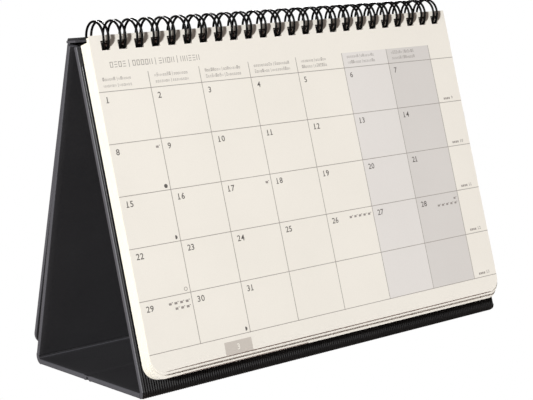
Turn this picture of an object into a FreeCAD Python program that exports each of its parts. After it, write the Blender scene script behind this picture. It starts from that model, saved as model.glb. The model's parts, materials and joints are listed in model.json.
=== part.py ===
import FreeCAD, Part
import math
import os

# Easel desk diary: a cased stand that folds flat, with leaves and a turned-back cover on a twin-loop wire.
# Millimetres. X runs across the page, the pages face -Y and Z is up. The profile is drawn with the front
# foot of the stand at y = 0, and every piece is moved at the end so that the origin is under the middle.

# Leaves
page_width = 210.0
page_height = 148.0
page_corner = 7.0
front_leaf_thickness = 0.3
bundle_thickness = 1.4
bundle_count = 5
leaf_gap = 0.1
leaf_hang = 0.67
leaf_creep = 0.173
page_to_panel = 0.3

# Punched holes
hole_pitch = 25.4 / 3
hole_size = 4.2
hole_margin = 2.4
hole_side = 7.0

# Twin-loop wire
wire_diameter = 1.0
ring_inner_diameter = 14.3
pair_spacing = 2.5
ring_forward = 2.5
ring_lift = 0.6
root_angle = -17.0
tip_angle = -52.0

# Cased boards of the stand
case_overhang = 2.0
board_thickness = 2.1
skin_thickness = 0.35
turn_in = 3.0
panel_length = 155.7
panel_lean = 12.0
base_depth = 102.5

# Folds of the stand
front_fold_slack = 0.2
rear_fold_slack = 1.2
mid_fold_slack = 0.15
mid_fold_ease = 0.1
fold_clearance = 0.15

# Punched strips on the wire, one for the leg and one over it for the turned-back cover
strip_board_thickness = 0.3
strip_rise = 0.6
strip_gap = 0.1
strip_pull = 0.7
strip_rear_margin = 1.4
leg_strip_gap = 0.3
leg_setback = 0.2

# Turned-back cover
cover_length = 161.0
cover_board_thickness = 1.7
cover_corner = 7.0
cover_flare = 1.65
cover_setback = 1.2
cover_hinge_gap = 0.3
cover_to_leg = 0.6

# Worked out from the sizes above
case_width = page_width + 2 * case_overhang
panel_thickness = board_thickness + 2 * skin_thickness
cover_thickness = cover_board_thickness + 2 * skin_thickness
strip_thickness = strip_board_thickness + 2 * skin_thickness
hole_count = int((page_width - 2 * hole_side) / hole_pitch) + 1
hole_depth = hole_margin + hole_size / 2
ring_radius = (ring_inner_diameter + wire_diameter) / 2
hole_places = [(i - (hole_count - 1) / 2) * hole_pitch for i in range(hole_count)]


def wire_drop(forward):
    # How far below the ring's centre the wire crosses a sheet that lies this far in front of the panel's face.
    return math.sqrt(ring_radius ** 2 - (forward - ring_forward) ** 2)


def slope_point(along, forward):
    # A place on the front panel, by its distance up the outer face and in front of it.
    lean = math.radians(panel_lean)
    y = along * math.sin(lean) - forward * math.cos(lean)
    z = along * math.cos(lean) + forward * math.sin(lean)
    return y, z


panel_hole = panel_length - hole_depth
ring_along = panel_hole + ring_lift + wire_drop(-panel_thickness / 2)
ring_y, ring_z = slope_point(ring_along, ring_forward)

# Both strips lie level on the wire at the back of the ring, the cover's over the leg's.
cover_strip_top = ring_z + strip_rise
leg_strip_top = cover_strip_top - strip_thickness - strip_gap
strip_hole = ring_y + ring_radius - strip_pull
strip_front = strip_hole - hole_depth
leg_strip_rear = strip_hole + hole_size / 2 + strip_rear_margin

# The leg leans from the back of the base to the rear edge of its strip.
leg_top_y = leg_strip_rear + leg_setback
leg_top_z = leg_strip_top - strip_thickness - leg_strip_gap
leg_length = math.hypot(base_depth - leg_top_y, leg_top_z)
leg_lean = math.degrees(math.atan2(base_depth - leg_top_y, leg_top_z))

# The cover hangs behind the leg from the rear edge of its own strip.
cover_lean = leg_lean + cover_flare
cover_turn = math.radians(cover_lean)
cover_depth = (cover_thickness + cover_to_leg) / math.cos(cover_turn)
cover_axis_y = leg_top_y + cover_depth - (cover_strip_top - leg_top_z) * math.tan(cover_turn)
cover_axis = (cover_axis_y, cover_strip_top)
cover_strip_rear = cover_axis_y - cover_hinge_gap

# Fold axes lie a little inside the inner faces, so that the faces meet with room to spare when folded.
front_radius = panel_thickness + front_fold_slack
rear_radius = panel_thickness + rear_fold_slack
front_setback = front_radius / math.tan(math.radians(90 - panel_lean) / 2)
rear_setback = rear_radius / math.tan(math.radians(90 - leg_lean) / 2)
front_axis = (front_setback, front_radius)
rear_axis = (base_depth - rear_setback, rear_radius)
mid_fold_gap = 2 * (panel_thickness + mid_fold_slack) + mid_fold_ease
mid_axis = ((front_axis[0] + rear_axis[0]) / 2, -mid_fold_slack)


def slab(width, u0, u1, w0, w1):
    # A flat box centred across the width, from u0 to u1 along the sheet and from w0 to w1 through it.
    corner = FreeCAD.Vector(-width / 2, min(u0, u1), min(w0, w1))
    return Part.makeBox(width, abs(u1 - u0), abs(w1 - w0), corner)


def round_corners(sheet, end, radius):
    # Rounds the two corners of a flat sheet at one end of its length.
    corners = []
    for edge in sheet.Edges:
        box = edge.BoundBox
        if box.ZLength > 1e-6 and abs(box.YMin - end) < 1e-6 and abs(box.YMax - end) < 1e-6:
            corners.append(edge)
    return sheet.makeFillet(radius, corners)


def punch(sheet, hole_along, w0, w1):
    # Cuts the row of square holes through a flat sheet.
    clear = 1.0
    depth = abs(w1 - w0) + 2 * clear
    low = min(w0, w1) - clear
    holes = []
    for x in hole_places:
        corner = FreeCAD.Vector(x - hole_size / 2, hole_along - hole_size / 2, low)
        holes.append(Part.makeBox(hole_size, hole_size, depth, corner))
    return sheet.cut(holes)


def lay(shape, y, z, tilt):
    # Turns a flat sheet about X by its tilt from level and puts its start at (y, z).
    placed = shape.copy()
    placed.rotate(FreeCAD.Vector(0, 0, 0), FreeCAD.Vector(1, 0, 0), tilt)
    placed.translate(FreeCAD.Vector(0, y, z))
    return placed


def cased_sheet(width, u0, u1, outer, inner, wrapped_start, wrapped_end, corner=0.0, hole_along=None):
    # A wrapped board: the board, the lining inside the turn-in, and the outer skin with its edges turned in.
    inward = math.copysign(skin_thickness, inner - outer)
    start_skin = skin_thickness if wrapped_start else 0.0
    end_skin = skin_thickness if wrapped_end else 0.0
    start_lip = start_skin + turn_in if wrapped_start else 0.0
    end_lip = end_skin + turn_in if wrapped_end else 0.0
    board_width = width - 2 * skin_thickness
    lining_width = board_width - 2 * turn_in
    full = slab(width, u0, u1, outer, inner)
    board = slab(board_width, u0 + start_skin, u1 - end_skin, outer + inward, inner - inward)
    lining = slab(lining_width, u0 + start_lip, u1 - end_lip, inner - inward, inner)
    if corner:
        full = round_corners(full, u1, corner)
        board = round_corners(board, u1 - end_skin, corner - skin_thickness)
        lining = round_corners(lining, u1 - end_lip, corner - skin_thickness - turn_in)
    wrap = full.cut([board, lining])
    pieces = {"wrap": wrap, "board": board, "lining": lining}
    if hole_along is not None:
        for name in pieces:
            pieces[name] = punch(pieces[name], hole_along, outer, inner)
    return pieces


def fold_skin(axis, radius, start, end):
    # The skin that turns round a fold, as part of a tube about the fold's axis.
    outer = FreeCAD.Vector(0, radius, 0)
    inner = FreeCAD.Vector(0, radius - skin_thickness, 0)
    across = FreeCAD.Vector(1, 0, 0)
    centre = FreeCAD.Vector(0, 0, 0)
    strip = Part.makePolygon([inner, outer, outer + case_width * across, inner + case_width * across, inner])
    sector = Part.Face(strip).revolve(centre, across, end - start)
    sector.rotate(centre, across, start)
    sector.translate(FreeCAD.Vector(-case_width / 2, axis[0], axis[1]))
    return sector


def make_leaf(back, thickness):
    # A leaf or a bundle of leaves: it hangs on the wire, the higher the further forward, and its foot is rounded.
    front = back + thickness
    middle = (back + front) / 2
    hole_along = ring_along - wire_drop(middle) - leaf_hang + leaf_creep * middle
    top = hole_along + hole_depth
    sheet = slab(page_width, top - page_height, top, back, front)
    sheet = round_corners(sheet, top - page_height, page_corner)
    return lay(punch(sheet, hole_along, back, front), 0, 0, 90 - panel_lean)


def ring_point(x, angle):
    # A point of the wire's centre line on the ring, by its angle above the level line behind the centre.
    turn = math.radians(angle)
    return FreeCAD.Vector(x, ring_y + ring_radius * math.cos(turn), ring_z + ring_radius * math.sin(turn))


def ring_run(x, start, end):
    # The wire round the ring in one plane, as two arcs.
    middle = (start + end) / 2
    first = Part.Arc(ring_point(x, start), ring_point(x, (start + middle) / 2), ring_point(x, middle))
    second = Part.Arc(ring_point(x, middle), ring_point(x, (middle + end) / 2), ring_point(x, end))
    return [first.toShape(), second.toShape()]


def half_turn(x0, x1, angle, heading):
    # The flat half turn of the wire between two planes, which leaves the ring along its tangent.
    turn = math.radians(angle)
    tangent = FreeCAD.Vector(0, -math.sin(turn), math.cos(turn)) * heading
    radius = abs(x1 - x0) / 2
    across = FreeCAD.Vector(math.copysign(radius, x1 - x0), 0, 0)
    centre = ring_point((x0 + x1) / 2, angle)
    far = centre + tangent * radius
    slant = math.sqrt(0.5)
    first = Part.Arc(centre - across, centre + (tangent * radius - across) * slant, far)
    second = Part.Arc(far, centre + (tangent * radius + across) * slant, centre + across)
    return [first.toShape(), second.toShape()]


def wire_route():
    # One unbroken line: up the first plane of each pair to its tip, back down the second, and on to the next.
    side = pair_spacing / 2
    tip = 360.0 + tip_angle
    route = []
    for i, x in enumerate(hole_places):
        route += ring_run(x - side, root_angle, tip)
        route += half_turn(x - side, x + side, tip, 1)
        route += ring_run(x + side, tip, root_angle)
        if i + 1 < hole_count:
            route += half_turn(x + side, hole_places[i + 1] - side, root_angle, -1)
    return route


def least_gap(route):
    # The least gap between stretches of the wire that aren't neighbours along it, measured on points.
    step = wire_diameter * 0.6
    points = []
    travelled = 0.0
    for edge in route:
        count = max(2, int(edge.Length / step))
        for k in range(count):
            reach = k / count
            span = edge.LastParameter - edge.FirstParameter
            points.append((edge.valueAt(edge.FirstParameter + span * reach), travelled + edge.Length * reach))
        travelled += edge.Length
    points.sort(key=lambda item: item[0].x)
    near = 3 * wire_diameter
    least = ring_inner_diameter
    for i, (place, along) in enumerate(points):
        for other, other_along in points[i + 1:]:
            if other.x - place.x > near:
                break
            if abs(other_along - along) > math.pi * near:
                least = min(least, place.distanceToPoint(other))
    return least - wire_diameter


def make_wire():
    # The twin-loop wire as a round tube along its route.
    route = wire_route()
    print("wire: least gap to itself %.2f mm" % least_gap(route))
    line = Part.Wire(route)
    start = route[0].valueAt(route[0].FirstParameter)
    heading = route[0].tangentAt(route[0].FirstParameter)
    section = Part.Wire(Part.makeCircle(wire_diameter / 2, start, heading))
    return line.makePipeShell([section], True, False)


def add_case(nodes, name, pieces, y, z, tilt):
    # Puts one cased sheet's pieces in place under its name.
    for part in pieces:
        nodes[name + "_" + part] = lay(pieces[part], y, z, tilt)


def make_stand(nodes):
    # The four cased boards of the stand and the skins that join them.
    thick = panel_thickness
    front = cased_sheet(case_width, front_setback, panel_length, 0, -thick, False, True, hole_along=panel_hole)
    add_case(nodes, "front_panel", front, 0, 0, 90 - panel_lean)
    nodes["front_fold_skin"] = fold_skin(front_axis, front_radius, 180 - panel_lean, 270)

    front_end = mid_axis[0] - mid_fold_gap / 2
    rear_start = mid_axis[0] + mid_fold_gap / 2
    base_front = cased_sheet(case_width, front_setback + fold_clearance, front_end, 0, thick, False, False)
    add_case(nodes, "base_front", base_front, 0, 0, 0)
    nodes["mid_fold_skin"] = slab(case_width, front_end, rear_start - fold_clearance, thick - skin_thickness, thick)
    base_rear = cased_sheet(case_width, rear_start, rear_axis[0], 0, thick, False, False)
    add_case(nodes, "base_rear", base_rear, 0, 0, 0)
    nodes["rear_fold_skin"] = fold_skin(rear_axis, rear_radius, -90, leg_lean)

    leg = cased_sheet(case_width, rear_setback + fold_clearance, leg_length, 0, thick, False, True)
    add_case(nodes, "leg", leg, base_depth, 0, 90 + leg_lean)


def make_strip(width, rear, top):
    # A punched strip on the wire: a thin board with its skin all round.
    skin = skin_thickness
    bottom = top - strip_thickness
    full = slab(width, strip_front, rear, bottom, top)
    board = slab(width - 2 * skin, strip_front + skin, rear - skin, bottom + skin, top - skin)
    wrap = full.cut(board)
    return {"wrap": punch(wrap, strip_hole, bottom, top), "board": punch(board, strip_hole, bottom, top)}


def make_cover(nodes):
    # The strips of the leg and the cover, and the cover that hangs from its strip behind the leg.
    add_case(nodes, "leg_strip", make_strip(case_width, leg_strip_rear, leg_strip_top), 0, 0, 0)
    add_case(nodes, "cover_strip", make_strip(page_width, cover_strip_rear, cover_strip_top), 0, 0, 0)

    hang = cover_lean - 90
    cover = cased_sheet(page_width, cover_setback, cover_length, -cover_thickness, 0, False, True, cover_corner)
    add_case(nodes, "cover", cover, cover_axis[0], cover_axis[1], hang)
    tongue = slab(page_width, cover_hinge_gap, cover_setback, -skin_thickness, 0)
    nodes["cover_hinge"] = lay(tongue, cover_axis[0], cover_axis[1], hang)


def make_leaves(nodes):
    # The leaves in bundles from the panel forward, with the single front leaf on top.
    back = page_to_panel
    for i in range(bundle_count, 0, -1):
        nodes["leaf_bundle_%d" % i] = make_leaf(back, bundle_thickness)
        back += bundle_thickness + leaf_gap
    nodes["front_leaf"] = make_leaf(back, front_leaf_thickness)


def main():
    nodes = {}
    make_stand(nodes)
    make_cover(nodes)
    make_leaves(nodes)
    nodes["wire"] = make_wire()

    whole = Part.makeCompound(list(nodes.values())).BoundBox
    middle = (whole.YMin + whole.YMax) / 2
    os.makedirs("parts", exist_ok=True)
    for name, shape in nodes.items():
        shape.translate(FreeCAD.Vector(0, -middle, 0))
        shape.exportStep("parts/%s.step" % name)
        print("%-22s %d solid, %9.1f mm3" % (name, len(shape.Solids), shape.Volume))

    axes = {"ring": (ring_y, ring_z), "front_fold": front_axis, "mid_fold": mid_axis}
    axes.update({"rear_fold": rear_axis, "cover": cover_axis})
    for name, (y, z) in axes.items():
        print("axis %-10s y %8.3f z %8.3f" % (name, y - middle, z))
    print("leg length %.2f, lean %.3f, moved %.3f, box y %.2f to %.2f, z %.2f to %.2f"
          % (leg_length, leg_lean, -middle, whole.YMin - middle, whole.YMax - middle, whole.ZMin, whole.ZMax))


main()
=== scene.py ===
import json
import math
import random

import bmesh
import bpy
from mathutils import Matrix, Vector


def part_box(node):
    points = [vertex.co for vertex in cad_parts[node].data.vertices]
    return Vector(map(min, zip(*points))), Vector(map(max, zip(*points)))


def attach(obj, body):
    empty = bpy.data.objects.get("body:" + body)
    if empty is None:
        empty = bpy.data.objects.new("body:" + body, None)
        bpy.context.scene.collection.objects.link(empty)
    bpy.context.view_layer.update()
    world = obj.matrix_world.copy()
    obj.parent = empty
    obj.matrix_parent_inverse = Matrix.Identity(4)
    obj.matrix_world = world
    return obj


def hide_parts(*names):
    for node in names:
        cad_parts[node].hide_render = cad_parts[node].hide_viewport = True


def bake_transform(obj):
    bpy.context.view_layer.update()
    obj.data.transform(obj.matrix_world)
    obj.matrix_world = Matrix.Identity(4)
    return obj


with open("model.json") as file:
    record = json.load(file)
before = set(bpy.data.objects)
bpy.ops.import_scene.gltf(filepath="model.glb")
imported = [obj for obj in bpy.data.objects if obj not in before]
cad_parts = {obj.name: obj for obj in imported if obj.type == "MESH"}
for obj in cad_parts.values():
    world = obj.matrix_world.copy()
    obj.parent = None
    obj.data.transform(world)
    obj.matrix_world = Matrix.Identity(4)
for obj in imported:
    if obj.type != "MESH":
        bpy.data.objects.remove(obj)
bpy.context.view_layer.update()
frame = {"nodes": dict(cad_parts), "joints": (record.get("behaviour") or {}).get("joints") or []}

mm = 0.001

# where the boards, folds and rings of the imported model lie, in millimetres

def jointAt(name):
    # the axis of a joint, as its place in y and z
    joint = next(j for j in frame["joints"] if j["name"] == name)
    return joint["pos_m"][1] / mm, joint["pos_m"][2] / mm


stand = {
    "frontFold": jointAt("front_fold"), "midFold": jointAt("mid_fold"), "rearFold": jointAt("rear_fold"),
    "coverAxis": jointAt("cover_swing"), "panelLean": 12.0, "legLean": 21.772, "coverFlare": 1.65,
    "panelEnd": 155.7, "legEnd": 165.44, "coverEnd": 161.0, "coverStart": 1.2,
    "caseHalf": 107.0, "pageHalf": 105.0, "thick": 2.8, "coverThick": 2.4, "skin": 0.35, "turnIn": 3.0,
    "midGap": 6.0, "foldGap": 0.15,
}


def footBeside(fold, lean):
    # how far the drawn corner of two faces lies from the axis of the fold that rounds it
    return fold[1] / math.tan(math.radians(90 - lean) / 2)


stand["footY"] = stand["frontFold"][0] - footBeside(stand["frontFold"], stand["panelLean"])
stand["heelY"] = stand["rearFold"][0] + footBeside(stand["rearFold"], stand["legLean"])
stand["panelTilt"] = 90 - stand["panelLean"]
stand["legTilt"] = 90 + stand["legLean"]
stand["coverTilt"] = stand["legLean"] + stand["coverFlare"] - 90
stand["frontTurn"] = (180 - stand["panelLean"], 270)
stand["rearTurn"] = (-90, stand["legLean"])
ringY, ringZ = jointAt("leaf_turn")
ring = {"y": ringY, "z": ringZ, "radius": 7.65, "side": 1.25, "pitch": 25.4 / 3, "count": 24, "root": -17.0,
        "tip": 308.0, "along": 158.82, "forward": 2.5, "holeDepth": 4.5, "holeHalf": 2.1}
ring["first"] = -(ring["count"] - 1) / 2 * ring["pitch"]


# small helpers for working by hand in edit mode

def clearSelection():
    if bpy.context.object and bpy.context.object.mode != "OBJECT":
        bpy.ops.object.mode_set(mode="OBJECT")
    bpy.ops.object.select_all(action="DESELECT")


def pick(piece):
    clearSelection()
    piece.select_set(True)
    bpy.context.view_layer.objects.active = piece
    return piece


def settle(piece):
    pick(piece)
    bpy.ops.object.transform_apply(location=True, rotation=True, scale=True)
    return piece


def rename(piece, name):
    piece.name = name
    piece.data.name = name
    return piece


def addSlab(name, low, high):
    clearSelection()
    centre = [(a + b) / 2 * mm for a, b in zip(low, high)]
    size = [abs(b - a) * mm for a, b in zip(low, high)]
    bpy.ops.mesh.primitive_cube_add(size=1, location=centre, scale=size)
    return settle(rename(bpy.context.object, name))


def chooseEdges(piece, test):
    # in edit mode: selects the edges whose two ends pass the test
    bpy.ops.mesh.select_mode(type="EDGE")
    bpy.ops.mesh.select_all(action="DESELECT")
    mesh = bmesh.from_edit_mesh(piece.data)
    for edge in mesh.edges:
        a, b = edge.verts[0].co / mm, edge.verts[1].co / mm
        edge.select_set(test(a, b))
    bmesh.update_edit_mesh(piece.data)


def chooseVerts(piece, test):
    # in edit mode: selects the points that pass the test
    bpy.ops.mesh.select_mode(type="VERT")
    bpy.ops.mesh.select_all(action="DESELECT")
    mesh = bmesh.from_edit_mesh(piece.data)
    for vert in mesh.verts:
        vert.select_set(test(vert.co / mm))
    mesh.select_flush_mode()
    bmesh.update_edit_mesh(piece.data)


def roundEdges(piece, test, radius, segments):
    pick(piece)
    bpy.ops.object.mode_set(mode="EDIT")
    chooseEdges(piece, test)
    bpy.ops.mesh.bevel(offset=radius * mm, segments=segments, affect="EDGES", clamp_overlap=True)
    bpy.ops.object.mode_set(mode="OBJECT")
    return piece


def runModifier(piece, kind, **values):
    pick(piece)
    modifier = piece.modifiers.new(kind.lower(), kind)
    for key, value in values.items():
        setattr(modifier, key, value)
    bpy.ops.object.modifier_apply(modifier=modifier.name)
    return piece


def cutAway(piece, cutter):
    runModifier(piece, "BOOLEAN", operation="DIFFERENCE", object=cutter, solver="EXACT")
    bpy.data.objects.remove(cutter)
    return piece


def repeat(piece, count, step):
    return runModifier(piece, "ARRAY", count=count, use_relative_offset=False, use_constant_offset=True,
                       constant_offset_displace=[s * mm for s in step])


def holeCutter(along, low, high):
    # the row of square punches, as one piece
    start, half = ring["first"], ring["holeHalf"]
    punch = addSlab("punch", (start - half, along - half, low), (start + half, along + half, high))
    return repeat(punch, ring["count"], (ring["pitch"], 0, 0))


def spinEnd(angle, steps, centre, axis):
    # the operator counts its angle the other way round the axis
    bpy.ops.mesh.spin(steps=steps, angle=-math.radians(angle), center=[c * mm for c in centre], axis=axis)


def layDown(piece, tilt, y, z):
    # a flat sheet drawn in x and y is turned about X and put in its place
    piece.rotation_euler = (math.radians(tilt), 0, 0)
    piece.location = (0, y * mm, z * mm)
    return settle(piece)


def joinAll(pieces, name):
    clearSelection()
    bpy.context.view_layer.update()
    for piece in pieces:
        piece.select_set(True)
    bpy.context.view_layer.objects.active = pieces[0]
    bpy.ops.object.join()
    return settle(rename(bpy.context.object, name))


def smooth(piece, angle):
    pick(piece)
    bpy.ops.object.shade_smooth_by_angle(angle=math.radians(angle))
    return piece


def dress(piece, *materials):
    # gives the finishes in the order that the faces count them
    places = [face.material_index for face in piece.data.polygons]
    piece.data.materials.clear()
    for material in materials:
        piece.data.materials.append(material)
    for face, place in zip(piece.data.polygons, places):
        face.material_index = min(place, len(materials) - 1)
    return piece


def copyOf(piece, name):
    twin = piece.copy()
    twin.data = piece.data.copy()
    bpy.context.scene.collection.objects.link(twin)
    return rename(twin, name)


# materials

def makeGrainGroup():
    # fine grain and slow cloud, shared by every finish
    group = bpy.data.node_groups.new("fineGrain", "ShaderNodeTree")
    group.interface.new_socket("Scale", in_out="INPUT", socket_type="NodeSocketFloat")
    group.interface.new_socket("Grain", in_out="OUTPUT", socket_type="NodeSocketFloat")
    group.interface.new_socket("Cloud", in_out="OUTPUT", socket_type="NodeSocketFloat")
    nodes, links = group.nodes, group.links
    entry = nodes.new("NodeGroupInput")
    leave = nodes.new("NodeGroupOutput")
    place = nodes.new("ShaderNodeTexCoord")
    fine = nodes.new("ShaderNodeTexNoise")
    fine.inputs["Detail"].default_value = 4.0
    slow = nodes.new("ShaderNodeTexNoise")
    slow.inputs["Scale"].default_value = 22.0
    slow.inputs["Detail"].default_value = 3.0
    links.new(place.outputs["Object"], fine.inputs["Vector"])
    links.new(place.outputs["Object"], slow.inputs["Vector"])
    links.new(entry.outputs["Scale"], fine.inputs["Scale"])
    links.new(fine.outputs["Fac"], leave.inputs["Grain"])
    links.new(slow.outputs["Fac"], leave.inputs["Cloud"])
    return group


grainGroup = makeGrainGroup()


grainUse = {"grainShare": 0.55, "cloudShare": 0.45, "low": 0.3, "high": 0.7}


def makeFinish(name, settings):
    # a principled finish whose colour drifts with the cloud and whose gloss and relief follow the grain
    material = bpy.data.materials.new(name)
    material.use_nodes = True
    nodes, links = material.node_tree.nodes, material.node_tree.links
    shader = nodes["Principled BSDF"]
    shader.inputs["Specular IOR Level"].default_value = settings["specular"]
    grain = nodes.new("ShaderNodeGroup")
    grain.node_tree = grainGroup
    grain.inputs["Scale"].default_value = settings["grainScale"]
    blend = nodes.new("ShaderNodeMath")
    blend.operation = "MULTIPLY_ADD"
    blend.inputs[1].default_value = grainUse["grainShare"]
    links.new(grain.outputs["Grain"], blend.inputs[0])
    half = nodes.new("ShaderNodeMath")
    half.operation = "MULTIPLY"
    half.inputs[1].default_value = grainUse["cloudShare"]
    links.new(grain.outputs["Cloud"], half.inputs[0])
    links.new(half.outputs[0], blend.inputs[2])
    tone = nodes.new("ShaderNodeMapRange")
    tone.inputs["From Min"].default_value = grainUse["low"]
    tone.inputs["From Max"].default_value = grainUse["high"]
    links.new(blend.outputs[0], tone.inputs["Value"])
    colour = nodes.new("ShaderNodeMix")
    colour.data_type = "RGBA"
    colour.inputs["A"].default_value = (*settings["dark"], 1)
    colour.inputs["B"].default_value = (*settings["light"], 1)
    links.new(tone.outputs["Result"], colour.inputs["Factor"])
    links.new(colour.outputs["Result"], shader.inputs["Base Color"])
    gloss = nodes.new("ShaderNodeMapRange")
    gloss.inputs["From Min"].default_value = grainUse["low"]
    gloss.inputs["From Max"].default_value = grainUse["high"]
    gloss.inputs["To Min"].default_value = settings["roughness"][0]
    gloss.inputs["To Max"].default_value = settings["roughness"][1]
    links.new(grain.outputs["Grain"], gloss.inputs["Value"])
    links.new(gloss.outputs["Result"], shader.inputs["Roughness"])
    if settings.get("relief"):
        bump = nodes.new("ShaderNodeBump")
        bump.inputs["Strength"].default_value = settings["relief"]
        bump.inputs["Distance"].default_value = settings["reliefDepth"]
        links.new(grain.outputs["Grain"], bump.inputs["Height"])
        links.new(bump.outputs["Normal"], shader.inputs["Normal"])
    return material


finishes = {
    "leatherette": makeFinish("leatherette", {
        "dark": (0.012, 0.012, 0.013), "light": (0.024, 0.024, 0.026), "roughness": (0.42, 0.6), "specular": 0.3,
        "grainScale": 3200.0, "relief": 0.5, "reliefDepth": 0.00006}),
    "ribbedSkin": makeFinish("ribbedSkin", {
        "dark": (0.0025, 0.0025, 0.0028), "light": (0.005, 0.005, 0.0055), "roughness": (0.3, 0.42), "specular": 0.36,
        "grainScale": 3200.0, "relief": 0.4, "reliefDepth": 0.00005}),
    # painted highlight: a lighter copy of the leatherette for the edges, the line along the crease and the groove
    "edgeHighlight": makeFinish("edgeHighlight", {
        "dark": (0.036, 0.036, 0.041), "light": (0.062, 0.062, 0.07), "roughness": (0.4, 0.55), "specular": 0.4,
        "grainScale": 2800.0, "relief": 0.5, "reliefDepth": 0.00006}),
    "liningPaper": makeFinish("liningPaper", {
        "dark": (0.0175, 0.0172, 0.019), "light": (0.0305, 0.030, 0.0325), "roughness": (0.5, 0.66), "specular": 0.3,
        "grainScale": 1500.0, "relief": 0.25, "reliefDepth": 0.00003}),
    "leafPaper": makeFinish("leafPaper", {
        "dark": (0.757, 0.731, 0.668), "light": (0.806, 0.78, 0.716), "roughness": (0.75, 0.9), "specular": 0.15,
        "grainScale": 2600.0, "relief": 0.15, "reliefDepth": 0.00002}),
    "leafEdge": makeFinish("leafEdge", {
        "dark": (0.565, 0.548, 0.462), "light": (0.605, 0.588, 0.502), "roughness": (0.8, 0.95), "specular": 0.1,
        "grainScale": 2600.0}),
    # painted shade: dark reddish brown for the shaded gaps between the leaf groups at their feet
    "paintedLeafShade": makeFinish("paintedLeafShade", {
        "dark": (0.10, 0.058, 0.048), "light": (0.17, 0.105, 0.09), "roughness": (0.8, 0.95), "specular": 0.1,
        "grainScale": 2600.0}),
    # painted shade: dark brown for the shaded hole walls and for the shade above the holes
    "paintedHoleShade": makeFinish("paintedHoleShade", {
        "dark": (0.030, 0.019, 0.016), "light": (0.055, 0.035, 0.029), "roughness": (0.8, 0.95), "specular": 0.1,
        "grainScale": 2600.0, "relief": 0.2, "reliefDepth": 0.00003}),
    "wireCoat": makeFinish("wireCoat", {
        "dark": (0.0015, 0.0015, 0.0016), "light": (0.003, 0.003, 0.0032), "roughness": (0.3, 0.42), "specular": 0.06,
        "grainScale": 1800.0, "relief": 0.1, "reliefDepth": 0.00002}),
    "lineInk": makeFinish("lineInk", {
        "dark": (0.28, 0.255, 0.235), "light": (0.34, 0.315, 0.29), "roughness": (0.75, 0.9), "specular": 0.15,
        "grainScale": 3000.0}),
    "figureInk": makeFinish("figureInk", {
        "dark": (0.095, 0.088, 0.082), "light": (0.135, 0.126, 0.118), "roughness": (0.7, 0.85), "specular": 0.15,
        "grainScale": 3000.0}),
    "smallInk": makeFinish("smallInk", {
        "dark": (0.24, 0.22, 0.205), "light": (0.32, 0.295, 0.275), "roughness": (0.7, 0.85), "specular": 0.15,
        "grainScale": 3000.0}),
    "sixthTint": makeFinish("sixthTint", {
        "dark": (0.675, 0.655, 0.63), "light": (0.715, 0.695, 0.67), "roughness": (0.75, 0.9), "specular": 0.15,
        "grainScale": 2600.0}),
    "seventhTint": makeFinish("seventhTint", {
        "dark": (0.60, 0.580, 0.556), "light": (0.64, 0.620, 0.596), "roughness": (0.75, 0.9), "specular": 0.15,
        "grainScale": 2600.0}),
    "tabTint": makeFinish("tabTint", {
        "dark": (0.515, 0.478, 0.432), "light": (0.558, 0.522, 0.476), "roughness": (0.75, 0.9), "specular": 0.15,
        "grainScale": 2600.0}),
}
print("finishes:", len(finishes))


# camera, at the photograph's angle

cameraSetup = {"place": (-389.972, -488.277 + stand["footY"], 157.151), "yaw": 36.023, "pitch": 7.524,
               "roll": -4.086, "focalPixels": 1347.7, "frameWidth": 533, "sensor": 36.0}


def makeCamera(setup):
    yaw, pitch, roll = (math.radians(setup[k]) for k in ("yaw", "pitch", "roll"))
    ahead = Vector((math.sin(yaw) * math.cos(pitch), math.cos(yaw) * math.cos(pitch), -math.sin(pitch)))
    level = Vector((math.cos(yaw), -math.sin(yaw), 0))
    upright = level.cross(ahead)
    right = level * math.cos(roll) + upright * math.sin(roll)
    up = upright * math.cos(roll) - level * math.sin(roll)
    clearSelection()
    bpy.ops.object.camera_add()
    camera = bpy.context.object
    turn = Matrix((right, up, -ahead)).transposed().to_4x4()
    camera.matrix_world = Matrix.Translation(Vector(setup["place"]) * mm) @ turn
    camera.data.sensor_width = setup["sensor"]
    camera.data.lens = setup["focalPixels"] * setup["sensor"] / setup["frameWidth"]
    camera.data.clip_start = 0.01
    camera.data.clip_end = 50
    bpy.context.scene.camera = camera
    print("camera: lens %.1f mm" % camera.data.lens)


makeCamera(cameraSetup)


# floor and soft studio light

lightSetup = {
    "floorSize": 24, "floorDrop": 0.0003, "aim": (0, 0, 0.08),
    "floorTone": (0.31, 0.265, 0.245), "worldSeen": 1.0, "worldLight": 0.1, "worldTone": (1.0, 0.87, 0.81),
    "lamps": [
        {"name": "leftWindow", "place": (-7.5, -4.15, 2.87), "size": 0.9, "watts": 1340.0},
        {"name": "sideFill", "place": (-2.2, -0.25, 0.6), "size": 1.2, "watts": 20.0},
        {"name": "backWindow", "place": (1.9, 2.3, 1.3), "size": 0.8, "watts": 130.0},
    ],
}


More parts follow.
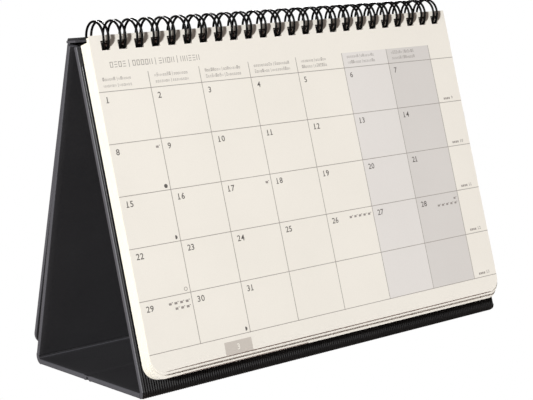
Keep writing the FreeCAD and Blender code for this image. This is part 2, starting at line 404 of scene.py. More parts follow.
def makeLight(setup):
    clearSelection()
    bpy.ops.mesh.primitive_plane_add(size=setup["floorSize"], location=(0, 0, -setup["floorDrop"]))
    floor = rename(bpy.context.object, "floor")
    settle(floor)
    tone = bpy.data.materials.new("floorTone")
    tone.use_nodes = True
    nodes, links = tone.node_tree.nodes, tone.node_tree.links
    shader = nodes["Principled BSDF"]
    shader.inputs["Base Color"].default_value = (*setup["floorTone"], 1)
    shader.inputs["Roughness"].default_value = 0.9
    shader.inputs["Specular IOR Level"].default_value = 0.1
    white = nodes.new("ShaderNodeEmission")             # evenly white to the eye, an ordinary floor to the light
    mixed = nodes.new("ShaderNodeMixShader")
    ray = nodes.new("ShaderNodeLightPath")
    links.new(ray.outputs["Is Camera Ray"], mixed.inputs["Fac"])
    links.new(shader.outputs[0], mixed.inputs[1])
    links.new(white.outputs[0], mixed.inputs[2])
    links.new(mixed.outputs[0], nodes["Material Output"].inputs["Surface"])
    dress(floor, tone)
    world = bpy.data.worlds.new("studio")
    bpy.context.scene.world = world
    world.use_nodes = True
    nodes, links = world.node_tree.nodes, world.node_tree.links
    sky = nodes["Background"]
    ray = nodes.new("ShaderNodeLightPath")
    level = nodes.new("ShaderNodeMapRange")             # white behind the object, dimmer as a light
    level.inputs["To Min"].default_value = setup["worldLight"]
    level.inputs["To Max"].default_value = setup["worldSeen"]
    links.new(ray.outputs["Is Camera Ray"], level.inputs["Value"])
    tint = nodes.new("ShaderNodeMix")
    tint.data_type = "RGBA"
    tint.inputs["A"].default_value = (*setup["worldTone"], 1)
    tint.inputs["B"].default_value = (1, 1, 1, 1)
    links.new(ray.outputs["Is Camera Ray"], tint.inputs["Factor"])
    links.new(tint.outputs["Result"], sky.inputs["Color"])
    links.new(level.outputs["Result"], sky.inputs["Strength"])
    bpy.context.scene.view_settings.view_transform = "Standard"
    for lamp in setup["lamps"]:
        clearSelection()
        bpy.ops.object.light_add(type="AREA", location=lamp["place"])
        light = bpy.context.object
        light.name = lamp["name"]
        light.data.shape = "DISK"
        light.data.size = lamp["size"]
        light.data.energy = lamp["watts"]
        aim = Vector(setup["aim"]) - Vector(lamp["place"])
        light.rotation_euler = aim.to_track_quat("-Z", "Y").to_euler()
    print("lamps:", len(setup["lamps"]))


makeLight(lightSetup)


# cased boards: a bevelled board with a recess for its lining

caseSetup = {"ribHeight": 0.26, "edgeRound": 0.6, "edgeSteps": 3, "coverCorner": 7.0, "cornerSteps": 10}


def makeCase(name, half, u0, u1, outer, inner, openStart, openEnd, corner=0.0):
    # drawn flat, from u0 to u1 along y; an open end has no turned-in border
    sign = 1 if inner > outer else -1
    face = outer + sign * caseSetup["ribHeight"]
    piece = addSlab(name, (-half, u0, min(face, inner)), (half, u1, max(face, inner)))
    if corner:
        roundEdges(piece, lambda a, b: abs(a.z - b.z) > 0.1 and a.y > u1 - 0.01, corner, caseSetup["cornerSteps"])

    def outline(a, b):
        if abs(a.z - b.z) > 0.01:
            return False
        if openStart and a.y < u0 + 0.01 and b.y < u0 + 0.01:
            return False
        return not (openEnd and a.y > u1 - 0.01 and b.y > u1 - 0.01)
    roundEdges(piece, outline, caseSetup["edgeRound"], caseSetup["edgeSteps"])
    lip = stand["skin"] + stand["turnIn"]
    startLip = 0 if openStart else lip
    endLip = 0 if openEnd else lip
    low = inner - sign * stand["skin"]
    spare = 1.0                                         # the cutter runs past what is open
    high = inner + sign * spare
    recess = addSlab("recess", (-half + lip, u0 + startLip - (spare if openStart else 0), min(low, high)),
                     (half - lip, u1 - endLip + (spare if openEnd else 0), max(low, high)))
    if corner:
        roundEdges(recess, lambda a, b: abs(a.z - b.z) > 0.1 and a.y > u1 - endLip - 0.01, corner - lip,
                   caseSetup["cornerSteps"])
    cutAway(piece, recess)
    for face in piece.data.polygons:                    # outer face, turned-in border, edges in painted highlight
        level = face.normal.z * sign
        face.material_index = 1 if level > 0.75 else 0 if level < -0.75 else 2
    return piece


def makeCases():
    thick, gap = stand["thick"], stand["foldGap"]
    half = stand["caseHalf"]
    pieces = {}
    frontY = stand["frontFold"][0]
    setback = frontY - stand["footY"]
    panel = makeCase("panelCase", half, setback, stand["panelEnd"], 0, -thick, True, False)
    cutAway(panel, holeCutter(stand["panelEnd"] - ring["holeDepth"], -thick - 1, 1))
    pieces["front_panel"] = layDown(panel, stand["panelTilt"], stand["footY"], 0)

    midY = stand["midFold"][0]
    frontEnd, rearStart = midY - stand["midGap"] / 2, midY + stand["midGap"] / 2
    pieces["base_front"] = makeCase("baseFrontCase", half, frontY + gap, frontEnd, 0, thick, True, True)
    pieces["base_rear"] = makeCase("baseRearCase", half, rearStart, stand["rearFold"][0], 0, thick, True, True)

    legStart = stand["heelY"] - stand["rearFold"][0] + gap
    leg = makeCase("legCase", half, legStart, stand["legEnd"], 0, thick, True, False)
    pieces["leg"] = layDown(leg, stand["legTilt"], stand["heelY"], 0)

    cover = makeCase("coverCase", stand["pageHalf"], stand["coverStart"], stand["coverEnd"], -stand["coverThick"], 0,
                     True, False, caseSetup["coverCorner"])
    pieces["cover"] = layDown(cover, stand["coverTilt"], *stand["coverAxis"])
    for body, piece in pieces.items():
        smooth(piece, 40)
        dress(piece, finishes["leatherette"], finishes["liningPaper"], finishes["edgeHighlight"])
        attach(piece, body)
        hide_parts(body + "_wrap", body + "_board")
    print("cases:", len(pieces))


makeCases()


# the ribbed leatherette that runs over the outer faces and round the folds

ribSetup = {"pitch": 1.2, "height": 0.26, "thickness": 0.3, "edge": 0.6, "foldSteps": 14, "coverInset": 2.2,
            "columns": 6, "rises": ((2, 0.72), (3, 1.0), (4, 0.72)), "panelStop": 9.0, "legStop": 1.0}
creaseSetup = {"steps": 12, "groove": 2.6, "grooveHeight": 1.9, "dip": 0.3, "bendShare": 0.6, "sideGap": 0.1,
               "lineShare": 0.09, "sunk": 0.02}


def ribbedFlat(name, half, u0, u1, face, outward):
    # a flat ribbed strip drawn in x and y; the ribs run along y
    count = int(2 * (half - ribSetup["edge"]) / ribSetup["pitch"])
    width, columns = count * ribSetup["pitch"], ribSetup["columns"]
    clearSelection()
    bpy.ops.mesh.primitive_grid_add(x_subdivisions=count * columns, y_subdivisions=1, size=1,
                                    location=(0, (u0 + u1) / 2 * mm, face * mm))
    piece = rename(bpy.context.object, name)
    piece.scale = (width * mm, (u1 - u0) * mm, 1)
    settle(piece)
    bpy.ops.object.mode_set(mode="EDIT")
    step = ribSetup["pitch"] / columns
    for column, rise in ribSetup["rises"]:
        chooseVerts(piece, lambda co: round((co.x + width / 2) / step) % columns == column)
        bpy.ops.transform.translate(value=(0, 0, outward * rise * ribSetup["height"] * mm))
    bpy.ops.object.mode_set(mode="OBJECT")
    return piece


def turnRound(piece, axis, angle, test, run):
    # spins the chosen edge round a fold and carries it straight on
    pick(piece)
    bpy.ops.object.mode_set(mode="EDIT")
    chooseVerts(piece, test)
    spinEnd(angle, ribSetup["foldSteps"], (0, *axis), (1, 0, 0))
    bpy.ops.mesh.extrude_region_move(TRANSFORM_OT_translate={"value": [r * mm for r in run]})
    bpy.ops.mesh.select_all(action="SELECT")
    bpy.ops.mesh.remove_doubles(threshold=1e-6)
    bpy.ops.object.mode_set(mode="OBJECT")
    return piece


def turnOver(piece, towards):
    # flips an open sheet if it doesn't look the given way on the whole
    total = Vector((0, 0, 0))
    for face in piece.data.polygons:
        total += face.normal * face.area
    if total.dot(Vector(towards)) < 0:
        pick(piece)
        bpy.ops.object.mode_set(mode="EDIT")
        bpy.ops.mesh.select_all(action="SELECT")
        bpy.ops.mesh.flip_normals()
        bpy.ops.object.mode_set(mode="OBJECT")


def makeSkins():
    rib, half = ribSetup["height"], stand["caseHalf"]
    frontY = stand["frontFold"][0]
    setback = frontY - stand["footY"]
    front = ribbedFlat("frontSkin", half, setback, stand["panelEnd"] - ribSetup["panelStop"], -rib, 1)
    layDown(front, stand["panelTilt"], stand["footY"], 0)
    lowest = min(v.co.z for v in front.data.vertices) / mm
    groove = creaseSetup["groove"] / 2
    run = stand["midFold"][0] - groove - frontY
    turnRound(front, stand["frontFold"], stand["frontTurn"][1] - stand["frontTurn"][0],
              lambda co: co.z < lowest + 0.3, (0, run, 0))
    rearY = stand["rearFold"][0]
    legStart = stand["heelY"] - rearY
    rear = ribbedFlat("rearSkin", half, legStart, stand["legEnd"] - ribSetup["legStop"], rib, -1)
    layDown(rear, stand["legTilt"], stand["heelY"], 0)
    low = min(v.co.z for v in rear.data.vertices) / mm
    back = stand["midFold"][0] + groove - rearY
    turnRound(rear, stand["rearFold"], stand["rearTurn"][0] - stand["rearTurn"][1],
              lambda co: co.z < low + 0.3, (0, back, 0))
    for piece, body, other, axis, turn, node in (
            (front, "front_panel", "base_front", stand["frontFold"], stand["frontTurn"], "front_fold_skin"),
            (rear, "leg", "base_rear", stand["rearFold"], stand["rearTurn"][::-1], "rear_fold_skin")):
        turnOver(piece, (0, axis[0], 0))                # outwards, to the front or to the back
        runModifier(piece, "SOLIDIFY", thickness=ribSetup["thickness"] * mm, offset=-1)
        smooth(piece, 32)
        dress(piece, finishes["ribbedSkin"])
        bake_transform(piece)
        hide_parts(node)
        print(piece.name, len(piece.data.polygons), "faces")
    inset = ribSetup["coverInset"]
    cover = ribbedFlat("coverSkin", stand["pageHalf"] - inset, stand["coverStart"], stand["coverEnd"] - inset,
                       rib - stand["coverThick"], -1)
    turnOver(cover, (0, 0, -1))
    runModifier(cover, "SOLIDIFY", thickness=ribSetup["thickness"] * mm, offset=-1)
    layDown(cover, stand["coverTilt"], *stand["coverAxis"])
    smooth(cover, 32)
    dress(cover, finishes["ribbedSkin"])
    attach(cover, "cover")


makeSkins()


# the soft stuff of the case that bends at each fold

def makeCrease(name, axis, turn):
    # a sector about the fold's axis, from the lining to the ribbed skin
    half = stand["caseHalf"] - creaseSetup["sideGap"]
    inner, outer = axis[1] - stand["thick"], axis[1] - ribSetup["height"]
    first, last = math.radians(turn[0]), math.radians(turn[1])
    middle = (inner + outer) / 2
    clearSelection()
    bpy.ops.mesh.primitive_plane_add(size=1, location=(0, (axis[0] + middle * math.cos(first)) * mm,
                                                       (axis[1] + middle * math.sin(first)) * mm))
    piece = rename(bpy.context.object, name)
    piece.scale = (2 * half * mm, (outer - inner) * mm, 1)
    piece.rotation_euler = (first, 0, 0)
    settle(piece)
    bpy.ops.object.mode_set(mode="EDIT")
    bpy.ops.mesh.select_all(action="SELECT")
    spinEnd(turn[1] - turn[0], creaseSetup["steps"], (0, *axis), (1, 0, 0))
    bpy.ops.mesh.select_all(action="SELECT")
    bpy.ops.mesh.remove_doubles(threshold=1e-6)
    bpy.ops.mesh.normals_make_consistent(inside=False)
    bpy.ops.object.mode_set(mode="OBJECT")
    for face in piece.data.polygons:                    # ends and a line along the lining in painted highlight, outer side, and the lining
        y, z = face.center.y / mm - axis[0], face.center.z / mm - axis[1]
        place = (math.degrees(math.atan2(z, y)) - turn[0]) % 360 / (turn[1] - turn[0])
        if abs(face.normal.x) > 0.7:
            face.material_index = 2
        elif math.hypot(y, z) > middle:
            face.material_index = 0
        else:
            face.material_index = 2 if abs(place - 0.5) < creaseSetup["lineShare"] else 1
    smooth(piece, 40)
    dress(piece, finishes["ribbedSkin"], finishes["liningPaper"], finishes["edgeHighlight"])
    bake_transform(piece)


def makeMidFold():
    # the bridge between the two halves of the base, cut across so that it can bend, with a groove below
    middle, reach = stand["midFold"][0], stand["midGap"] / 2
    thick, half = stand["thick"], stand["caseHalf"] - creaseSetup["sideGap"]
    bottom = ribSetup["height"]
    piece = addSlab("midFold", (-half, middle - reach, bottom), (half, middle + reach, thick - creaseSetup["sunk"]))
    pick(piece)
    bpy.ops.object.mode_set(mode="EDIT")
    steps = creaseSetup["steps"] * 2
    for i in range(1, steps):
        bpy.ops.mesh.select_all(action="SELECT")
        y = middle - reach + 2 * reach * i / steps
        bpy.ops.mesh.bisect(plane_co=(0, y * mm, 0), plane_no=(0, 1, 0))
    for i in range(1, steps):
        y = middle - reach + 2 * reach * i / steps
        chooseVerts(piece, lambda co: abs(co.y - y) < 0.01 and co.z > thick - 0.1)
        dip = creaseSetup["dip"] * (1 - ((y - middle) / reach) ** 2)       # room for the bend when it folds up
        bpy.ops.transform.translate(value=(0, 0, -dip * mm))
        share = abs(y - middle) / (creaseSetup["groove"] / 2)
        if share < 1:
            chooseVerts(piece, lambda co: abs(co.y - y) < 0.01 and co.z < bottom + 0.01)
            rise = creaseSetup["grooveHeight"] * math.sqrt(1 - share ** 2)
            bpy.ops.transform.translate(value=(0, 0, rise * mm))
    bpy.ops.object.mode_set(mode="OBJECT")
    for face in piece.data.polygons:                    # ends and groove in painted highlight, lining side, underside
        inGroove = face.normal.z < 0.7 and face.center.z / mm > bottom + 0.05
        face.material_index = 2 if abs(face.normal.x) > 0.7 or inGroove else 1 if face.normal.z > 0.7 else 0
    smooth(piece, 40)
    dress(piece, finishes["ribbedSkin"], finishes["liningPaper"], finishes["edgeHighlight"])
    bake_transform(piece)
    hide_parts("mid_fold_skin")


makeCrease("frontCrease", stand["frontFold"], stand["frontTurn"])
makeCrease("rearCrease", stand["rearFold"], stand["rearTurn"])
makeMidFold()
print("creases: 3")


# leaves: thin punched sheets in bundles

leafSetup = {
    "height": 148.0, "corner": 7.0, "cornerSteps": 12, "hang": 0.67, "creep": 0.173, "toPanel": 0.3,
    "bundle": 1.4, "gap": 0.1, "front": 0.3, "count": 5, "sheets": 7, "sheetThick": 0.165, "jitter": 0.09, "seed": 11,
    "shortSheets": 2, "shortBy": 1.3, "topTrim": 0.5,
    "holeDrop": {"front_leaf": 0.6, "leaf_bundle_2": -0.35},       # room for the wire over the whole turn
    "slip": {5: 0.38, 4: 0.27, 3: -0.14, 2: -0.86, 1: -0.21},      # how the bundles settle on the wire
}


def leafTop(back, thick):
    # leaves hang on the wire, the higher the further forward
    middle = back + thick / 2
    drop = math.sqrt(ring["radius"] ** 2 - (middle - ring["forward"]) ** 2)
    return ring["along"] - drop - leafSetup["hang"] + leafSetup["creep"] * middle + ring["holeDepth"]


def makeSheet(body, height):
    # one punched sheet with rounded feet, its top edge at y = 0
    thick = leafSetup["sheetThick"]
    half = stand["pageHalf"]
    sheet = addSlab("sheet", (-half, -height, 0), (half, 0, thick))
    roundEdges(sheet, lambda a, b: abs(a.z - b.z) > 0.01 and a.y < -height + 0.01, leafSetup["corner"],
               leafSetup["cornerSteps"])
    holeLine = ring["holeDepth"] + leafSetup["holeDrop"].get(body, 0)
    cutAway(sheet, holeCutter(-holeLine, -1, thick + 1))
    for face in sheet.data.polygons:                    # walls of the holes in painted shade, feet of the short sheets in painted shade, other edges
        inRow = abs(face.center.y / mm + holeLine) < ring["holeHalf"] + 0.1
        onEdge = abs(face.normal.z) < 0.5
        if inRow and onEdge and abs(face.center.x) / mm < half - 1:
            face.material_index = 1
        elif onEdge:
            face.material_index = 2 if face.normal.y < -0.4 and height < leafSetup["height"] else 3
    return dress(sheet, finishes["leafPaper"], finishes["paintedHoleShade"], finishes["paintedLeafShade"], finishes["leafEdge"])


def makeLeaves():
    shuffle = random.Random(leafSetup["seed"])
    tops = {}
    back = leafSetup["toPanel"]
    for k in range(leafSetup["count"], 0, -1):
        top = leafTop(back, leafSetup["bundle"]) + leafSetup["slip"][k]
        step = leafSetup["bundle"] / leafSetup["sheets"]
        body = "leaf_bundle_%d" % k
        sheet = makeSheet(body, leafSetup["height"])
        short = makeSheet(body, leafSetup["height"] - leafSetup["shortBy"])
        stack = []
        for i in range(leafSetup["sheets"]):
            parted = i < leafSetup["shortSheets"] and k < leafSetup["count"]
            leaf = copyOf(short if parted else sheet, "leaf")
            slip = leafSetup["jitter"]
            leaf.location = (shuffle.uniform(-slip, slip) * mm, (top + shuffle.uniform(-slip, slip)) * mm,
                             (back + step * i + (step - leafSetup["sheetThick"])) * mm)
            stack.append(settle(leaf))
        bundle = joinAll(stack, "leafBundle%d" % k)
        tops[body] = (bundle, top, back + leafSetup["bundle"])
        bpy.data.objects.remove(sheet)
        bpy.data.objects.remove(short)
        back += leafSetup["bundle"] + leafSetup["gap"]
    top = leafTop(back, leafSetup["front"])
    leaf = rename(makeSheet("front_leaf", leafSetup["height"]), "frontLeaf")
    pick(leaf)
    bpy.ops.object.mode_set(mode="EDIT")
    chooseVerts(leaf, lambda co: co.y > -0.01)          # its top clears the strips when it is turned over
    bpy.ops.transform.translate(value=(0, -leafSetup["topTrim"] * mm, 0))
    bpy.ops.object.mode_set(mode="OBJECT")
    leaf.location = (0, top * mm, (back + leafSetup["front"] - leafSetup["sheetThick"]) * mm)
    tops["front_leaf"] = (settle(leaf), top, back + leafSetup["front"])
    for body, (piece, top, face) in tops.items():
        layDown(piece, stand["panelTilt"], stand["footY"], 0)
        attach(piece, body)
        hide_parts(body)
    print("leaves:", len(tops))
    return tops


leaves = makeLeaves()


# printed month: lines, tinted columns and plain figures

printSetup = {
    "columns": (-105.0, -78.76, -51.89, -24.49, 3.35, 31.87, 60.75, 89.26), "head": 25.33, "row": 22.86, "rows": 5,
    "lineWidth": 0.3, "columnRise": 7.4, "lift": 0.012, "figureHeight": 2.7, "figureX": 2.8, "figureY": 4.95,
    "figureBold": 0.009, "digitStep": 1.98, "footWidth": 0.5, "footStroke": 0.12,
    "lineHalf": 104.9, "stemIn": 0.06,
    "titleX": -97.0, "titleFoot": 15.0, "titleHeight": 2.5, "titleWords": (4, 5, 4, 5), "letterStep": 2.15,
    "letterShare": 0.68, "titleWeight": 0.11, "titleBar": (0.2, 0.45), "titleBarPast": 0.4, "wordGap": 0.3,
    "dayFeet": (20.6, 23.4), "dayIn": 3.0, "dayHeight": 1.5, "dayStep": 1.08, "dayShare": 0.7, "dayWeight": 0.16,
    "dayBar": (0.3, 0.45), "dayBarPast": 0.3, "dayTalls": (0.65, 0.65, 0.65, 1.0),
    "dayWords": ((6, 6), (8, 7), (8, 9), (10, 8), (7, 6), (7, 8), (7, 6)),
    "weekFoot": 1.4, "weekX": 93.0, "weekHeight": 1.5, "weekStep": 1.15, "weekMark": 0.85, "weekMarks": 4,
    "weekShare": 0.7, "weekFigure": 5.4,
    "tabStart": -94.2, "tabStep": 13.7, "tabWidth": 14.7, "tabTop": 141.8, "tabFoot": 147.6, "tabShort": 4.0,
    "tabFigureIn": 0.8, "tabFigure": (4.2, 1.0), "tabFigureBehind": (2.4, 0.6), "shadeAboveHoles": 1.9, "seed": 5,
    # painted shadow lines along the feet of the leaves
    "shadeStart": -98.0, "shadeRise": 0.03, "shadeRuns": ((0.25, 4.0), (0.5, 5.0), (0.75, 6.0)),
    "paintedFootShadow": {"front_leaf": (98.5, 0.32), "leaf_bundle_1": (98.5, 0.16), "leaf_bundle_2": (-20.0, 0.3)},
    "moons": {8: "full", 15: "half", 22: "ring", 30: "half"}, "moonSize": 0.9, "moonIn": 2.1, "moonUp": 1.85,
    "codes": {8: (1,), 17: (1,), 26: (5,), 28: (1, 5), 29: (4, 3)}, "codeStep": 2.9, "codeIn": 1.0, "codeDown": 3.4,
    "codeLine": 2.4, "codeMarks": ((-2.3, -0.9, -0.5, 0.5), (-0.65, -0.2, -0.75, -0.3)),
    "months": {"front_leaf": (3, 0, 31), "leaf_bundle_1": (4, 3, 30), "leaf_bundle_2": (6, 1, 30),
               "leaf_bundle_3": (7, 3, 31), "leaf_bundle_4": (9, 2, 30), "leaf_bundle_5": (11, 0, 30)},
}


bpy.ops.mesh.primitive_plane_add(size=1)
blankPatch = rename(bpy.context.object, "blankPatch")


def addPatch(x0, x1, down0, down1, level, ink):
    # a flat printed patch on the page, by its distance down from the top edge
    patch = copyOf(blankPatch, "patch")
    patch.location = ((x0 + x1) / 2 * mm, -(down0 + down1) / 2 * mm, level * mm)
    patch.scale = ((x1 - x0) * mm, abs(down1 - down0) * mm, 1)
    return dress(patch, finishes[ink])


def addDigit(sign, height, ink):
    # a flat digit with its lower left corner at the origin; the one stands on a foot
    clearSelection()
    bpy.ops.object.text_add()
    bpy.context.object.data.body = sign
    bpy.context.object.data.offset = printSetup["figureBold"]
    bpy.context.object.data.resolution_u = 3
    bpy.ops.object.convert(target="MESH")
    digit = bpy.context.object
    low = [min(v.co[i] for v in digit.data.vertices) for i in (0, 1)]
    high = [max(v.co[i] for v in digit.data.vertices) for i in (0, 1)]
    scale = height * mm / (high[1] - low[1])
    digit.scale = (scale, scale, 1)
    digit.location = (-low[0] * scale, -low[1] * scale, 0)
    settle(digit)
    dress(digit, finishes[ink])
    if sign == "1":
        stem = (high[0] - low[0]) * scale / mm - printSetup["stemIn"] * height
        reach, stroke = printSetup["footWidth"] * height / 2, printSetup["footStroke"] * height
        foot = addPatch(stem - reach, stem + reach, -stroke, 0, 0, ink)
        digit = joinAll([digit, foot], "digit")
        digit.location = ((reach - stem) * mm, 0, 0)
        settle(digit)
    return digit


def makeNumber(digits, number):
    parts = []
    for i, sign in enumerate(str(number)):
        part = copyOf(digits[sign], "digit")
        part.location = (i * printSetup["digitStep"] * mm, 0, 0)
        parts.append(part)
    return joinAll(parts, "number")


def addMark(x, down, width, height, kind, weight):
    # one plain mark in place of a letter: two uprights, three bars or a box
    stroke = height * weight
    foot, level = down + height, printSetup["lift"] * 2
    sides = [(0, stroke, 0, height), (width - stroke, width, 0, height)]
    bars = [(0, width, i * (height - stroke) / 2, i * (height - stroke) / 2 + stroke) for i in range(3)]
    spans = (sides, bars, sides + bars[::2])[kind]
    return [addPatch(x + a, x + b, foot - d, foot - c, level, "smallInk") for a, b, c, d in spans]


def addHeading(shuffle):
    # the title line, drawn as plain marks with bars between its words, and two small lines over each column
    setup = printSetup
    parts = []
    x, height = setup["titleX"], setup["titleHeight"]
    top = setup["titleFoot"] - height
    level = setup["lift"] * 2
    bar, past = setup["titleBar"], setup["titleBarPast"]
    for i, letters in enumerate(setup["titleWords"]):
        if i:
            parts.append(addPatch(x + bar[0], x + bar[1], top - past, top + height + past, level, "smallInk"))
            x += setup["letterStep"]
        for k in range(letters):
            width = setup["letterStep"] * setup["letterShare"]
            parts += addMark(x, top, width, height, shuffle.randrange(3), setup["titleWeight"])
            x += setup["letterStep"]
        x += setup["letterStep"] * setup["wordGap"]
    height, step = setup["dayHeight"], setup["dayStep"]
    bar, past = setup["dayBar"], setup["dayBarPast"]
    for column, words in enumerate(setup["dayWords"]):
        for line, foot in enumerate(setup["dayFeet"]):
            x = setup["columns"][column] + setup["dayIn"]
            for i, count in enumerate(words if line == 0 else words[::-1]):
                if i:
                    parts.append(addPatch(x + bar[0], x + bar[1], foot - height, foot + past, level, "smallInk"))
                    x += step
                for k in range(count):
                    tall = height * shuffle.choice(setup["dayTalls"])
                    width = step * setup["dayShare"]
                    parts += addMark(x, foot - tall, width, tall, shuffle.randrange(3), setup["dayWeight"])
                    x += step
                x += step * setup["wordGap"]
    return joinAll(parts, "heading")


def addMoon(kind, x, down):
    # a small disc, half disc or ring
    clearSelection()
    radius = printSetup["moonSize"] * mm
    bpy.ops.mesh.primitive_circle_add(vertices=24, radius=radius, fill_type="NGON")
    moon = rename(bpy.context.object, "moon")
    bpy.ops.object.mode_set(mode="EDIT")
    bpy.ops.mesh.select_all(action="SELECT")
    if kind == "half":
        bpy.ops.mesh.bisect(plane_co=(-0.2 * radius, 0, 0), plane_no=(1, 0, 0), clear_inner=True)
    elif kind == "ring":
        bpy.ops.mesh.inset(thickness=radius * 0.3)
        bpy.ops.mesh.delete(type="FACE")
    bpy.ops.object.mode_set(mode="OBJECT")
    moon.location = (x * mm, -down * mm, printSetup["lift"] * 2 * mm)
    settle(moon)
    return dress(moon, finishes["smallInk" if kind == "ring" else "figureInk"])


def addCodes(day, place):
    # short marks in the upper right of a cell
    setup = printSetup
    parts = []
    right = setup["columns"][place % 7 + 1] - setup["codeIn"]
    for line, count in enumerate(setup["codes"][day]):
        down = setup["head"] + place // 7 * setup["row"] + setup["codeDown"] + line * setup["codeLine"]
        for k in range(count):
            x = right - k * setup["codeStep"]
            for a, b, c, d in setup["codeMarks"]:
                parts.append(addPatch(x + a, x + b, down + c, down + d, setup["lift"] * 2, "smallInk"))
    return parts


def printMonth(figures, heading, body, month, first, days):
    # one page's print, as a thin piece of its own on the leaf
    setup = printSetup
    columns, rows = setup["columns"], setup["rows"]
    level = setup["lift"]
    half = setup["lineWidth"] / 2
    foot = setup["head"] + rows * setup["row"]
    top = setup["head"] - setup["columnRise"]
    onTop = body == "front_leaf"
    parts = [addPatch(columns[5], columns[6], top, foot, level, "sixthTint"),
             addPatch(columns[6], columns[7], top, foot, level, "seventhTint"), copyOf(heading, "heading")]
    for i in range(rows + 1):
        down = setup["head"] + i * setup["row"]
        parts.append(addPatch(-setup["lineHalf"], setup["lineHalf"], down - half, down + half, level * 2, "lineInk"))
    for x in columns[1:]:
        parts.append(addPatch(x - half, x + half, top, foot, level * 2, "lineInk"))
    if not onTop:                                       # painted shade above the holes, where deeper leaves lie in shade behind the holes in front
        start, side = ring["first"], ring["holeHalf"]
        holeTop = ring["holeDepth"] + leafSetup["holeDrop"].get(body, 0) - side
        shadeAboveHoles = addPatch(start - side, start + side, holeTop - setup["shadeAboveHoles"], holeTop, level, "paintedHoleShade")
        parts.append(repeat(settle(shadeAboveHoles), ring["count"], (ring["pitch"], 0, 0)))
    if body in setup["paintedFootShadow"]:                      # a painted shadow along the foot, thinning towards the corner
        sheetFoot, start = leafSetup["height"] - setup["shadeRise"], setup["shadeStart"]
        end, tall = setup["paintedFootShadow"][body]
        for share, run in setup["shadeRuns"]:
            parts.append(addPatch(start, start + run, sheetFoot - share * tall, sheetFoot, level, "paintedLeafShade"))
            start += run
        parts.append(addPatch(start, end, sheetFoot - tall, sheetFoot, level, "paintedLeafShade"))
    tab = setup["tabStart"] + (month - 1) * setup["tabStep"]
    tabFoot = setup["tabFoot"] - (0 if onTop else setup["tabShort"])
    parts.append(addPatch(tab, tab + setup["tabWidth"], setup["tabTop"], tabFoot, level, "tabTint"))

    def put(figure, x, down, ink=None, size=1.0):
        mark = copyOf(figure, "figure")
        mark.scale = (size, size, 1)
        mark.location = (x * mm, -down * mm, level * 2 * mm)
        if ink:
            dress(mark, finishes[ink])
        parts.append(mark)
    tabDown, tabSize = setup["tabFigure" if onTop else "tabFigureBehind"]
    tabX = tab + setup["tabWidth"] / 2 - setup["tabFigureIn"]
    put(figures[month], tabX, setup["tabTop"] + tabDown, "leafPaper", tabSize)
    for day in range(1, days + 1):
        place = first + day - 1
        put(figures[day], columns[place % 7] + setup["figureX"],
            setup["head"] + place // 7 * setup["row"] + setup["figureY"])
        if day in setup["moons"]:
            parts.append(addMoon(setup["moons"][day], columns[place % 7 + 1] - setup["moonIn"],
                                 setup["head"] + (place // 7 + 1) * setup["row"] - setup["moonUp"]))
        if day in setup["codes"]:
            parts += addCodes(day, place)
    size = setup["weekHeight"] / setup["figureHeight"]
    for i in range(rows):
        week = (month - 1) * 13 // 3 + 1 + i            # thirteen weeks to three months
        foot = setup["head"] + (i + 1) * setup["row"] - setup["weekFoot"]
        for k in range(setup["weekMarks"]):
            x, tall = setup["weekX"] + k * setup["weekStep"], setup["weekHeight"] * setup["weekShare"]
            parts.append(addPatch(x, x + setup["weekMark"], foot - tall, foot, level * 2, "lineInk"))
        for k, digit in enumerate(str(week)):
            put(figures[digit], setup["weekX"] + setup["weekFigure"] + k * setup["weekStep"], foot, "smallInk", size)
    sheet = joinAll(parts, "print_" + body)
    piece, pageTop, face = leaves[body]
    sheet.location = (0, pageTop * mm, face * mm)
    settle(sheet)
    layDown(sheet, stand["panelTilt"], stand["footY"], 0)
    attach(sheet, body)


def makePrint():
    figures = {sign: addDigit(sign, printSetup["figureHeight"], "figureInk") for sign in "0123456789"}
    figures.update({day: makeNumber(figures, day) for day in range(1, 32)})
    heading = addHeading(random.Random(printSetup["seed"]))
    for body, (month, first, days) in printSetup["months"].items():
        printMonth(figures, heading, body, month, first, days)
    for figure in [blankPatch, heading, *figures.values()]:
        bpy.data.objects.remove(figure)
    print("printed leaves:", len(printSetup["months"]))


makePrint()


# twin-loop wire, spun round the ring a pair at a time

wireSetup = {"half": 0.56, "radius": 7.585, "crown": 0.93, "sides": 10, "runSteps": 40, "tipSteps": 8, "rootSteps": 10}


def ringPoint(x, angle):
    a = math.radians(angle)
    return x, ring["y"] + wireSetup["radius"] * math.cos(a), ring["z"] + wireSetup["radius"] * math.sin(a)


def startTube(x, angle, name):
    # a circle across the wire, left in edit mode for the spins
    clearSelection()
    bpy.ops.mesh.primitive_circle_add(vertices=wireSetup["sides"], radius=wireSetup["half"] * mm,
                                      location=[c * mm for c in ringPoint(x, angle)],
                                      rotation=(math.radians(angle), 0, 0))
    piece = rename(bpy.context.object, name)
    settle(piece)
    bpy.ops.object.mode_set(mode="EDIT")
    bpy.ops.mesh.select_mode(type="VERT")
    bpy.ops.mesh.select_all(action="SELECT")
    return piece


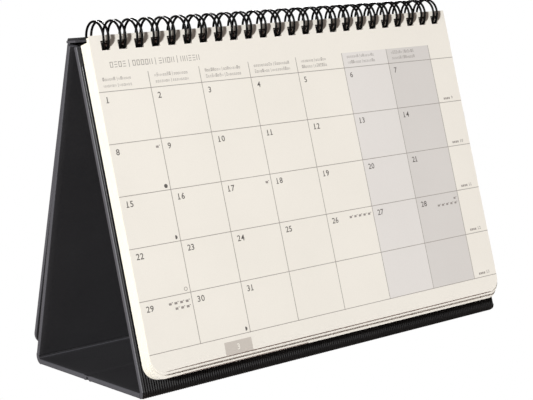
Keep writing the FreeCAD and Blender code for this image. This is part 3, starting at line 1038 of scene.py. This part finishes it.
def makeWire():
    first = ring["first"]
    side, root, tip = ring["side"], ring["root"], ring["tip"]
    sweep = tip - root
    hub = (first, ring["y"], ring["z"])
    pair = startTube(first - side, root, "wirePair")
    spinEnd(sweep, wireSetup["runSteps"], hub, (1, 0, 0))
    a = math.radians(tip)
    spinEnd(180, wireSetup["tipSteps"], ringPoint(first, tip), (0, math.cos(a), math.sin(a)))
    spinEnd(-sweep, wireSetup["runSteps"], hub, (1, 0, 0))
    bpy.ops.object.mode_set(mode="OBJECT")
    link = startTube(first + side, root, "wireLink")
    a = math.radians(root)
    spinEnd(180, wireSetup["rootSteps"], ringPoint(first + ring["pitch"] / 2, root), (0, -math.cos(a), -math.sin(a)))
    bpy.ops.object.mode_set(mode="OBJECT")
    repeat(pair, ring["count"], (ring["pitch"], 0, 0))
    repeat(link, ring["count"] - 1, (ring["pitch"], 0, 0))
    wire = joinAll([pair, link], "bindingWire")
    bpy.ops.object.mode_set(mode="EDIT")
    bpy.ops.mesh.select_all(action="SELECT")
    bpy.ops.mesh.remove_doubles(threshold=2e-6)
    bpy.ops.mesh.fill_holes(sides=0)
    bpy.ops.mesh.select_all(action="SELECT")
    bpy.ops.mesh.normals_make_consistent(inside=False)
    chooseVerts(wire, lambda co: co.z > ring["z"])      # the loops are a little flat on top
    bpy.ops.transform.resize(value=(1, 1, wireSetup["crown"]), center_override=(0, ring["y"] * mm, ring["z"] * mm))
    bpy.ops.object.mode_set(mode="OBJECT")
    smooth(wire, 50)
    dress(wire, finishes["wireCoat"])
    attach(wire, "front_panel")
    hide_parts("wire")
    low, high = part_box("wire")
    mine = [[min(v.co[i] for v in wire.data.vertices), max(v.co[i] for v in wire.data.vertices)] for i in range(3)]
    print("wire: %d faces" % len(wire.data.polygons), [round((mine[i][0] - low[i]) / mm, 3) for i in range(3)],
          [round((mine[i][1] - high[i]) / mm, 3) for i in range(3)])


makeWire()


# the rest of the imported nodes keep their shape and get their finish

# the leg strip's wrap takes the lighter painted highlight
nodeFinish = {"lining": "liningPaper", "wrap": "leatherette", "board": "leatherette", "hinge": "leatherette",
              "skin": "liningPaper", "leg_strip_wrap": "edgeHighlight"}
for name, node in frame["nodes"].items():
    finish = nodeFinish.get(name, nodeFinish.get(name.split("_")[-1]))
    if finish:
        dress(node, finishes[finish])
print("nodes dressed:", len(frame["nodes"]))
